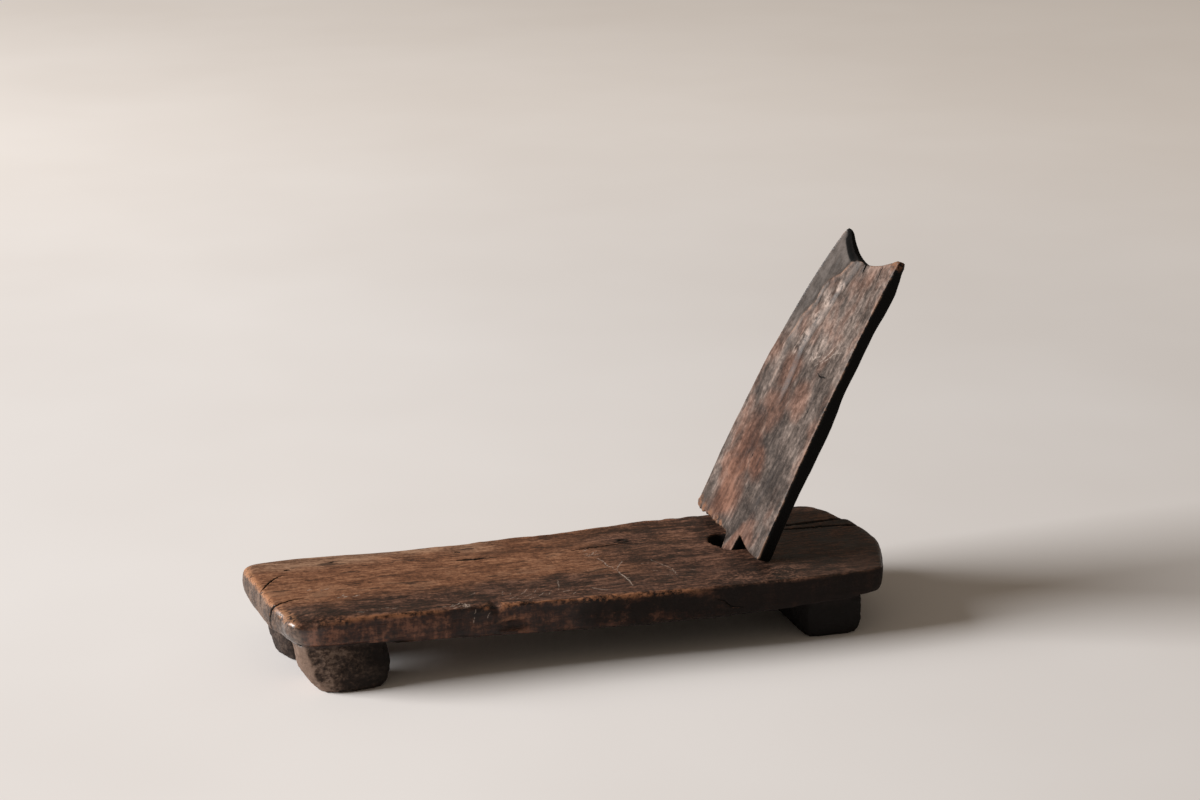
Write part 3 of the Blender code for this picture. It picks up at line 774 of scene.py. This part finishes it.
# %% The board's cracks and scratches
BOARD_MARKS = [
    ("front", 3, 5, "crack", 0.4, [(10, 472), (8, 462), (6, 450)]),
    ("front", 3, 5, "crack", 0.4, [(-40, 482), (-43, 464), (-46, 448)]),
    ("front", 2.4, 2, "crack", 0.5, [(-12, 286), (-24, 283), (-44, 288)]),
    ("front", 2.4, 2, "crack", 0.4, [(-40, 234), (-43, 226)]),
    ("front", 2.4, 2, "crack", 0.4, [(54, 123), (53, 116)]),
    ("front", 2.4, 2, "crack", 0.5, [(66, 440), (63, 428)]),
    ("front", 2.0, 0.6, "scratch", 0.8, [(-8, 300), (-30, 322), (-52, 334)]),
    ("front", 2.0, 0.6, "scratch", 0.8, [(4, 290), (-10, 310), (-26, 338)]),
    ("front", 2.0, 0.6, "scratch", 0.8, [(30, 306), (18, 296), (2, 312)]),
]
press_marks(board, BOARD_MARKS)

# %% [markdown]
# ## Where hands and ground have worn it
#
# Edges that stick out lose their dark skin first. The same measure that sharpened the edges finds
# them: how far a vertex stands proud of its smoothed surroundings. It is kept as an attribute, and
# the finish brightens ridges and darkens hollows with it. The board's scooped side, its ridge and the
# far horn's slant are kept too.

# %% Measure ridges, hollows and the scooped side
RIDGE_ROUNDS = 7
SEAT_WEAR, SEAT_HOLLOW = (0.0004, 0.0016), (0.0001, 0.0008)
BOARD_WEAR, BOARD_HOLLOW = (0.0003, 0.0011), (0.00005, 0.0005)
SLATE_SIDE, SLATE_U = (-0.002, 0.006), (0.27, 0.35)
RIDGE_BESIDE, RIDGE_FAINT_U, RIDGE_CLEAR_U = (0.006, 0.001), (0.26, 0.34), (0.39, 0.43)
CHARRED_RIM = 0.003


def proud_of(piece):
    """How far each vertex stands above its smoothed surroundings, in metres."""
    return ((points_of(piece) - smoothed(piece, RIDGE_ROUNDS)) * normals_of(piece)).sum(1)


for piece, wear, hollow in ((seat, SEAT_WEAR, SEAT_HOLLOW), (board, BOARD_WEAR, BOARD_HOLLOW)):
    proud = proud_of(piece)
    store(piece, "wear", span(proud, *wear))
    store(piece, "hollow", span(-proud, *hollow))
_, b, u = on_board(points_of(board)).T
gap, side = line_gap(b, u, np.array(SCOOP_RIDGE) * MM)
store(board, "scooped", span(gap * side, *SLATE_SIDE) * span(u, *SLATE_U))
clearer = 0.35 * span(u, *RIDGE_FAINT_U) + 0.65 * span(u, *RIDGE_CLEAR_U)
store(board, "ridge", span(gap, *RIDGE_BESIDE) * clearer)
gaps, reach = horn_slant(points_of(board))
store(board, "charred", span(gaps, reach + CHARRED_RIM, reach))
print("ridges and hollows kept for", len(points_of(seat)), "and", len(points_of(board)), "vertices")

# %% [markdown]
# ## The seat's wood
#
# The seat is warm brown where it is worn, grey-brown where dirt has settled, and dark on its sides,
# with painted shade that makes them nearly black towards the rear. A picture of old wood could be
# wrapped round it, but it would stretch on the sides and feet. Noise measured in metres fits every
# face: long fibres, broader bands and short dark pores are noise stretched along the plank, and
# mottling and dust have no direction. Each face then gets a ground colour of its own, mixed from
# these noises.

# %% Noise and places on the seat
GRAIN_SWAY = (0.0, 0.018, 0.018)
DRIFT_X, DRIFT_Y = 0.7, 0.28
REAR_SHADE_X = (-0.33, 0.1)
FEET_TOP = (0.062, 0.054)
FRONT_FEET_X, FRONT_FEET_HIGHER = (-0.27, -0.31), 0.012


def kept(name):
    """A number that was kept for each vertex."""
    return add("Attribute", attribute_name=name).outputs["Fac"]


def blend(*shares):
    """A weighted sum of sockets: pairs of a weight and a socket."""
    total = 0.0
    for weight, socket in shares:
        total = calc("ADD", calc("MULTIPLY", socket, weight), total)
    return total


def zone(*limits):
    """Where all of some soft steps hold: each is a socket, the value where it is 0, and where it is 1."""
    return all_of(*[between(*limit) for limit in limits])


def shifted(operation, a, b):
    """One step of arithmetic on two places."""
    return add("VectorMath", {0: a, 1: b}, operation=operation).outputs[0]


def grain(place, scale, detail, roughness):
    """Noise with a scale for each axis: the smaller the scale, the longer the streaks along that axis."""
    return cloudy(add("Mapping", {"Vector": place, "Scale": scale}).outputs[0], 1.0, detail, roughness)


def seat_ground():
    """The noises, places and directions that the seat's paints are mixed from."""
    where = add("TexCoord")
    here = where.outputs["Object"]
    wander = add("TexNoise", {"Vector": here, "Scale": 7.0, "Detail": 2.0}).outputs["Color"]
    swayed = shifted("ADD", here, shifted("MULTIPLY", wander, GRAIN_SWAY))
    wood = SimpleNamespace(here=here)
    wood.fibres = grain(swayed, (28, 150, 150), 5.0, 0.68)
    wood.bands = grain(swayed, (3.5, 30, 30), 4.0, 0.6)
    wood.dashes = grain(swayed, (20, 95, 95), 3.0, 0.6)
    wood.mottle = grain(here, (18, 30, 30), 9.0, 0.72)
    wood.dust = grain(here, (170, 200, 200), 3.0, 0.65)
    wood.uprights = grain(here, (60, 24, 18), 5.0, 0.65)
    wood.pits = blend((0.55, wood.mottle), (0.45, wood.dust))

    # Zones are read through broad noise, so that none of them ends in a straight line.
    drift = calc("SUBTRACT", grain(here, (4, 7, 7), 5.0, 0.6), 0.5)
    wood.x, wood.y, wood.z = add("SeparateXYZ", {0: here}).outputs
    wood.drifted_x = blend((1.0, wood.x), (DRIFT_X, drift))
    wood.drifted_y = blend((1.0, wood.y), (DRIFT_Y, drift))
    wood.forward, _, wood.up = add("SeparateXYZ", {0: where.outputs["Normal"]}).outputs
    # Painted shade: the sides grow darker towards the rear, where little light reaches them.
    wood.sooty = between(wood.drifted_x, *REAR_SHADE_X)

    # The feet's colour reaches higher at the front, where they step in under the plank.
    higher = calc("MULTIPLY", between(wood.x, *FRONT_FEET_X), FRONT_FEET_HIGHER)
    wood.low = between(calc("SUBTRACT", wood.z, higher), *FEET_TOP)
    return wood


# %% Ground colour of the top
WARM_BROWN = [(0.0, (0.08, 0.032, 0.016)), (0.3, (0.17, 0.069, 0.035)),
              (0.65, (0.265, 0.116, 0.06)), (1.0, (0.42, 0.205, 0.112))]
PALE_BROWN = [(0.0, (0.12, 0.058, 0.033)), (0.3, (0.215, 0.11, 0.066)), (1.0, (0.42, 0.245, 0.155))]
GRIME = [(0.0, (0.013, 0.008, 0.006)), (0.4, (0.052, 0.025, 0.017)),
         (0.7, (0.118, 0.055, 0.035)), (1.0, (0.25, 0.125, 0.082))]
SMEAR, REAR_DIRT = (0.03, 0.019, 0.015), (0.013, 0.009, 0.007)


def top_paint(wood):
    """Warm brown in the middle, paler at the far edge, grimy at the near edge and towards the rear."""
    mixed = blend((0.3, wood.fibres), (0.12, wood.bands), (0.36, wood.mottle), (0.22, wood.dust))
    tone = between(mixed, 0.405, 0.595)
    far_edge = zone((wood.drifted_y, 0.035, 0.1), (wood.drifted_x, -0.06, -0.2))
    near_edge = between(wood.drifted_y, -0.035, -0.095)
    to_rear = between(blend((1.0, wood.drifted_x), (-0.45, wood.y)), -0.11, 0.17)
    smeared = zone((wood.mottle, 0.52, 0.62), (wood.y, 0.1, -0.12))
    near_rear = zone((wood.drifted_x, 0.24, 0.34), (wood.y, -0.04, -0.09))
    return painted(
        tones(tone, WARM_BROWN),
        (far_edge, tones(tone, PALE_BROWN), 1),
        (calc("MAXIMUM", near_edge, to_rear), tones(tone, GRIME), 1),
        (smeared, SMEAR, 0.55),
        (near_rear, REAR_DIRT, 0.42))


# %% Ground colour of the sides and the front end
SIDE_BROWN = [(0.0, (0.011, 0.0055, 0.0045)), (0.45, (0.041, 0.017, 0.012)),
              (0.75, (0.082, 0.034, 0.021)), (1.0, (0.2, 0.086, 0.052))]
# Painted shade for the sides towards the rear.
SIDE_SHADE = (0.01, 0.0068, 0.0057)
END_BROWN = [(0.0, (0.034, 0.02, 0.014)), (0.5, (0.084, 0.051, 0.036)), (1.0, (0.165, 0.108, 0.079))]


def side_paint(wood):
    """Red-brown, with painted shade towards the rear except in a few reddish patches, and duller on the
    front end.
    """
    mixed = blend((0.35, wood.uprights), (0.2, wood.fibres), (0.3, wood.mottle), (0.15, wood.dust))
    bare = zone((wood.mottle, 0.49, 0.6), (wood.x, 0.26, 0.1))
    shade_share = calc("SUBTRACT", 0.93, calc("MULTIPLY", bare, 0.35))
    end_tone = between(blend((0.6, wood.mottle), (0.4, wood.dust)), 0.4, 0.6)
    return painted(
        tones(between(mixed, 0.41, 0.59), SIDE_BROWN),
        # painted shade on the side towards the rear
        (all_of(wood.sooty, shade_share), SIDE_SHADE, 1),
        (between(wood.forward, -0.3, -0.62), tones(end_tone, END_BROWN), 1))


# %% Ground colour of the feet
FOOT_BROWN = [(0.0, (0.022, 0.014, 0.011)), (0.5, (0.085, 0.054, 0.04)), (1.0, (0.21, 0.145, 0.11))]
# Painted light on the near foot's front, and painted shade on the far feet.
FOOT_PAINTED_LIGHT, FAR_FEET_SHADE = (0.205, 0.135, 0.1), (0.02, 0.014, 0.012)
# Painted shade on the feet towards the rear.
FOOT_SHADE, REAR_FOOT_SHADE = (0.009, 0.007, 0.006), (0.009, 0.0075, 0.007)


def feet_paint(wood):
    """Dull and blotched, with painted light in tan on the front of the near foot, and painted shade behind
    it and on the other feet.
    """
    return painted(
        tones(between(wood.pits, 0.4, 0.61), FOOT_BROWN),
        # painted light on the near foot's front, which faces the lamp
        (zone((wood.forward, -0.2, -0.6), (wood.y, -0.045, -0.06)), FOOT_PAINTED_LIGHT, 0.7),
        # painted shade on the far feet, under the plank and behind the near ones
        (between(wood.y, -0.055, -0.035), FAR_FEET_SHADE, 0.7),
        # painted shade on the right of the front feet and on the rear feet
        (between(wood.x, -0.42, -0.33), FOOT_SHADE, 0.88),
        # more painted shade on the rear feet
        (between(wood.x, 0.1, 0.2), REAR_FOOT_SHADE, 1))


# %% [markdown]
# ## Wear and gloss on the seat
#
# Over the ground colours go the traces of use and some painted light: pits along one edge, bare wood
# with a painted highlight along another, painted shade inside the hole, dark pores, dirt and painted
# shade in the hollows, bare wood on the ridges, and last the scratches and cracks. Hands have polished
# the near front corner, so it gets a thin coat and hardly any relief, while the feet and the shaded
# rear of the side are dull. The noises that colour the grain also raise it a little.

# %% Wear on the seat
PITTED = [(0.42, (0.008, 0.006, 0.005)), (0.5, (0.052, 0.027, 0.019)), (0.58, (0.23, 0.118, 0.078))]
# Bare wood with a painted highlight on the front end's upper edge, and worn ridges.
RUBBED_LIT_BROWN, WORN_BROWN = (0.36, 0.175, 0.086), (0.38, 0.165, 0.08)
# The hole's middle, and the painted shade inside it.
HOLE_MIDDLE, HOLE_SHADE = (0.252, 0.026, 0.0), (0.004, 0.0035, 0.003)
# Dark pores, and dirt with painted shade in the hollows.
PORE_DARK, HOLLOW_DARK = (0.026, 0.013, 0.009), (0.014, 0.009, 0.008)
SCRATCH_PALE, CRACK_BLACK = (0.46, 0.37, 0.31), (0.008, 0.006, 0.005)


def rub_edges(wood, body):
    """Pits along the near edge at the rear, and bare wood with a painted highlight along the front end's
    upper edge.
    """
    near_rear = zone((wood.drifted_x, 0.21, 0.26), (wood.drifted_x, 0.4, 0.34),
                     (wood.y, -0.088, -0.122), (wood.up, 0.2, 0.5))
    # bare wood and a painted highlight on the front end's upper edge, which faces the lamp
    worn_and_lit = zone((wood.forward, -0.18, -0.42), (wood.up, 0.25, 0.5), (wood.x, -0.43, -0.46),
                  (wood.dust, 0.42, 0.52))
    return painted(body, (near_rear, tones(wood.pits, PITTED), 0.8), (worn_and_lit, RUBBED_LIT_BROWN, 0.7))


def mark_seat(wood, body):
    """Painted shade in the hole, pores, dirt and painted shade in hollows, worn ridges, scratches and
    cracks, in that order.
    """
    from_hole = distance(shifted("MULTIPLY", wood.here, (1, 1, 0)), HOLE_MIDDLE)
    patchy = blend((0.5, wood.mottle), (0.5, wood.dust))
    ridges = zone((patchy, 0.42, 0.56), (wood.z, 0.07, 0.095), (wood.drifted_x, 0.24, 0.1))
    return painted(
        body,
        # painted shade inside the hole through the seat
        (zone((from_hole, 0.075, 0.06), (wood.z, 0.1015, 0.0965)), HOLE_SHADE, 1),
        (zone((wood.dashes, 0.39, 0.33), (wood.up, 0.3, 0.7)), PORE_DARK, 0.8),
        # dirt and painted shade in the hollows, such as the crease under the plank's front edge
        (kept("hollow"), HOLLOW_DARK, 0.5),
        (all_of(kept("wear"), ridges), WORN_BROWN, 0.8),
        (all_of(kept("scratch"), between(wood.dust, 0.38, 0.52)), SCRATCH_PALE, 0.8),
        (between(kept("crack"), 0.2, 0.8), CRACK_BLACK, 1))


# %% Gloss, and the whole seat finish
POLISHED_CORNER, POLISH_REACH = (-0.464, -0.128, 0.112), (0.065, 0.025)
COAT_ROUGHNESS, SEAT_SPECULAR = 0.32, 0.28
SEAT_ROUGHNESS, DULL_ROUGHNESS = (0.26, 0.66), 0.9
SEAT_RELIEF, POLISHED_LESS, SEAT_RELIEF_DEPTH = 0.6, 0.45, 0.0025


def emboss(shader, height, strength, depth):
    """Raises a finish by a height noise."""
    bump = add("Bump", {"Strength": strength, "Distance": depth, "Height": height})
    plug(shader, "Normal", bump.outputs[0])


def seat_gloss(wood, shader):
    """The polished corner, the dull parts, and the grain's relief."""
    polish = between(distance(wood.here, POLISHED_CORNER), *POLISH_REACH)
    plug(shader, "Coat Weight", all_of(polish, between(wood.mottle, 0.38, 0.52)))
    plug(shader, "Coat Roughness", COAT_ROUGHNESS)
    plug(shader, "Specular IOR Level", SEAT_SPECULAR)
    uneven = blend((0.9, wood.mottle), (0.3, wood.dust), (-0.14, kept("wear")), (-0.5, polish))
    dull = calc("MAXIMUM", all_of(wood.sooty, between(wood.up, 0.7, 0.35)), wood.low)
    dull = calc("MULTIPLY", dull, DULL_ROUGHNESS)
    plug(shader, "Roughness", calc("MAXIMUM", remap(uneven, (0.3, 0.8), SEAT_ROUGHNESS), dull))
    pores = between(wood.dashes, 0.32, 0.42)
    height = blend((0.5, wood.fibres), (0.5, wood.mottle), (0.35, wood.dust), (0.3, pores))
    strength = calc("SUBTRACT", SEAT_RELIEF, calc("MULTIPLY", polish, POLISHED_LESS))
    emboss(shader, height, strength, SEAT_RELIEF_DEPTH)


def seat_finish():
    """The seat's worn wood, from its ground colours to its gloss."""
    finish, shader = new_finish("worn_seat_wood")
    wood = seat_ground()
    body = painted(side_paint(wood), (between(wood.up, 0.2, 0.7), top_paint(wood), 1))
    body = rub_edges(wood, body)
    body = painted(body, (wood.low, feet_paint(wood), 1))
    plug(shader, "Base Color", mark_seat(wood, body))
    seat_gloss(wood, shader)
    return finish


seat.data.materials.append(seat_finish())
print("seat finish nodes", len(tree.nodes))

# %% [markdown]
# ## The back board's wood
#
# The board's front is grey-brown with rust-brown patches and spots of painted silver sheen, dark and
# smooth where it was scooped out, with a painted highlight along its ridge, and its edges are black,
# as if charred. The finish is built in the board's own rulers: a Mapping node of the Texture kind
# undoes the board's lean, so the grain runs along the board. Patches that show from a step away are
# placed as soft rounds, and noise frays them.

# %% Noise and patches on the board
BOARD_SWAY, SWAY_MIDDLE = (0.0, 0.05, 0.09), (0.0, 0.025, 0.045)
PATCH_OUTER, PATCH_INNER = 1.25, 0.45


def patches_of(here, places):
    """Soft round patches on the board's face as one mask: each has its middle and radius in mm."""
    flat = shifted("MULTIPLY", here, (0, 1, 1))
    total = 0.0
    for aside, upward, radius in places:
        away = distance(flat, (0, aside * MM, upward * MM))
        soft = between(away, radius * MM * PATCH_OUTER, radius * MM * PATCH_INNER)
        total = calc("MAXIMUM", soft, total)
    return total


def board_ground():
    """The noises, places and directions that the board's paints are mixed from."""
    where = add("TexCoord")
    undo = {"Vector": where.outputs["Object"], "Location": BOARD_FOOT, "Rotation": BOARD_TURN}
    here = add("Mapping", undo, vector_type="TEXTURE").outputs[0]
    wander = add("TexNoise", {"Vector": here, "Scale": 16.0, "Detail": 4.0}).outputs["Color"]
    swayed = shifted("ADD", here, shifted("MULTIPLY", wander, BOARD_SWAY))
    swayed = shifted("SUBTRACT", swayed, SWAY_MIDDLE)
    wood = SimpleNamespace(here=here, swayed=swayed)
    wood.fibres = grain(here, (140, 140, 26), 4.0, 0.65)
    wood.broad = grain(swayed, (13, 13, 10), 3.0, 0.5)
    wood.blotch = grain(here, (32, 32, 26), 8.0, 0.72)
    wood.dust = grain(here, (130, 130, 140), 4.0, 0.65)
    wood.bands = grain(here, (16, 16, 8), 4.0, 0.6)
    wood.height = add("SeparateXYZ", {0: here}).outputs[2]
    facing = {0: where.outputs["Normal"], 1: through}
    wood.face = add("VectorMath", facing, operation="DOT_PRODUCT").outputs["Value"]
    wood.edge = calc("MAXIMUM", between(calc("ABSOLUTE", wood.face), 0.84, 0.62), kept("charred"))
    mixed = blend((0.18, wood.fibres), (0.27, wood.broad), (0.38, wood.blotch), (0.17, wood.dust),
                  (0.07, wood.height))
    wood.tone = between(mixed, 0.412, 0.618)
    return wood


# %% Ground colour of the board's front
RUST_PATCHES = [(74, 40, 46), (82, 84, 40), (82, 138, 44), (36, 112, 34), (60, 205, 40), (0, 232, 34),
                (66, 264, 34)]
# Spots of painted sheen on the face: middle and radius in mm.
SHEEN_PATCHES = [(47, 412, 12), (60, 384, 13), (66, 352, 12), (74, 320, 12), (82, 297, 12),
                  (19, 328, 9), (15, 308, 8)]
GREY_BROWN = [(0.0, (0.02, 0.014, 0.012)), (0.35, (0.066, 0.049, 0.041)),
              (0.7, (0.132, 0.1, 0.085)), (1.0, (0.27, 0.212, 0.182))]
RUST_BROWN = [(0.0, (0.034, 0.017, 0.012)), (0.35, (0.084, 0.042, 0.029)),
              (0.7, (0.146, 0.079, 0.057)), (1.0, (0.26, 0.152, 0.114))]
DEEP_RUST = [(0.0, (0.036, 0.014, 0.009)), (0.35, (0.086, 0.036, 0.022)),
             (0.7, (0.145, 0.066, 0.042)), (1.0, (0.24, 0.118, 0.078))]
SLATE = [(0.0, (0.036, 0.03, 0.027)), (0.5, (0.072, 0.06, 0.054)), (1.0, (0.12, 0.1, 0.09))]
# Painted sheen, and a painted highlight along the ridge.
PAINTED_SHEEN, RIDGE_HIGHLIGHT = (0.45, 0.352, 0.302), (0.24, 0.13, 0.085)


def front_paint(wood):
    """Grey-brown with rust patches, deeper low down, with painted silver sheen, slate where it is scooped,
    and a painted highlight on the ridge.
    """
    low = between(wood.height, 0.22, 0.1)
    rust = painted(tones(wood.tone, RUST_BROWN), (low, tones(wood.tone, DEEP_RUST), 1))
    streaks = between(blend((0.5, wood.bands), (0.5, wood.broad)), 0.48, 0.6)
    streaks = calc("MULTIPLY", streaks, 0.8)
    rusty = calc("MAXIMUM", patches_of(wood.swayed, RUST_PATCHES), streaks)
    sheen_flecks = between(blend((0.45, wood.blotch), (0.3, wood.fibres), (0.25, wood.dust)), 0.44, 0.58)
    return painted(
        tones(wood.tone, GREY_BROWN),
        (rusty, rust, 1),
        # painted sheen: pale spots that stand for glints of the lamp on the face
        (all_of(patches_of(wood.here, SHEEN_PATCHES), sheen_flecks), PAINTED_SHEEN, 0.85),
        (kept("scooped"), tones(wood.tone, SLATE), 1),
        # a painted highlight along the scoop's ridge
        (all_of(kept("ridge"), between(wood.blotch, 0.42, 0.56)), RIDGE_HIGHLIGHT, 0.5))


# %% The board's edges and wear
CHIPPED_PLACES = [(-74, 490, 13), (142, 4, 13), (116, 3, 9), (92, 2, 8), (66, 2, 8), (48, 2, 7)]
CHARRED_BLACK, CHIPPED_BROWN = (0.0035, 0.0032, 0.003), (0.19, 0.088, 0.048)
BOARD_HOLLOW_DARK, BOARD_WORN_BROWN = (0.02, 0.014, 0.012), (0.33, 0.185, 0.115)
BOARD_SCRATCH_PALE = (0.4, 0.33, 0.28)


def mark_board(wood, body):
    """Black edges, chipped places, hollows, worn ridges, scratches and cracks, in that order."""
    chipped = zone((wood.dust, 0.4, 0.52), (wood.face, 0.3, -0.2))
    patchy = blend((0.5, wood.blotch), (0.5, wood.dust))
    ridges = zone((patchy, 0.46, 0.58), (wood.face, -0.2, -0.6), (kept("charred"), 0.5, 0.0))
    return painted(
        body,
        (wood.edge, CHARRED_BLACK, 1),
        (all_of(patches_of(wood.here, CHIPPED_PLACES), chipped), CHIPPED_BROWN, 1),
        (kept("hollow"), BOARD_HOLLOW_DARK, 0.45),
        (all_of(kept("wear"), ridges), BOARD_WORN_BROWN, 0.45),
        (all_of(kept("scratch"), between(wood.dust, 0.38, 0.56)), BOARD_SCRATCH_PALE, 0.6),
        (between(kept("crack"), 0.2, 0.8), CRACK_BLACK, 1))


# %% The whole board finish
BACK_BROWN = [(0.0, (0.014, 0.01, 0.008)), (0.5, (0.045, 0.026, 0.019)), (1.0, (0.11, 0.064, 0.046))]
BOARD_SPECULAR, BOARD_ROUGHNESS = 0.22, (0.36, 0.66)
BOARD_RELIEF, BOARD_RELIEF_DEPTH = 0.6, 0.002


def board_finish():
    """The board's worn wood, from its ground colours to its gloss."""
    finish, shader = new_finish("worn_board_wood")
    wood = board_ground()
    on_back = between(wood.face, -0.2, 0.4)
    body = painted(front_paint(wood), (on_back, tones(wood.tone, BACK_BROWN), 1))
    plug(shader, "Base Color", mark_board(wood, body))
    uneven = blend((0.8, wood.blotch), (0.3, wood.dust), (-0.12, kept("scooped")))
    plug(shader, "Roughness", calc("MAXIMUM", remap(uneven, (0.4, 0.75), BOARD_ROUGHNESS), wood.edge))
    plug(shader, "Specular IOR Level", BOARD_SPECULAR)
    height = blend((0.35, wood.fibres), (0.6, wood.blotch), (0.3, wood.dust))
    emboss(shader, height, BOARD_RELIEF, BOARD_RELIEF_DEPTH)
    return finish


board.data.materials.append(board_finish())
print("board finish nodes", len(tree.nodes))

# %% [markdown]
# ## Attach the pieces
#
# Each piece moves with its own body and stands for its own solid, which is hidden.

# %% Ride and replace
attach(seat, "seat")
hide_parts("seat_plank")
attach(board, "back")
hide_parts("back_board")
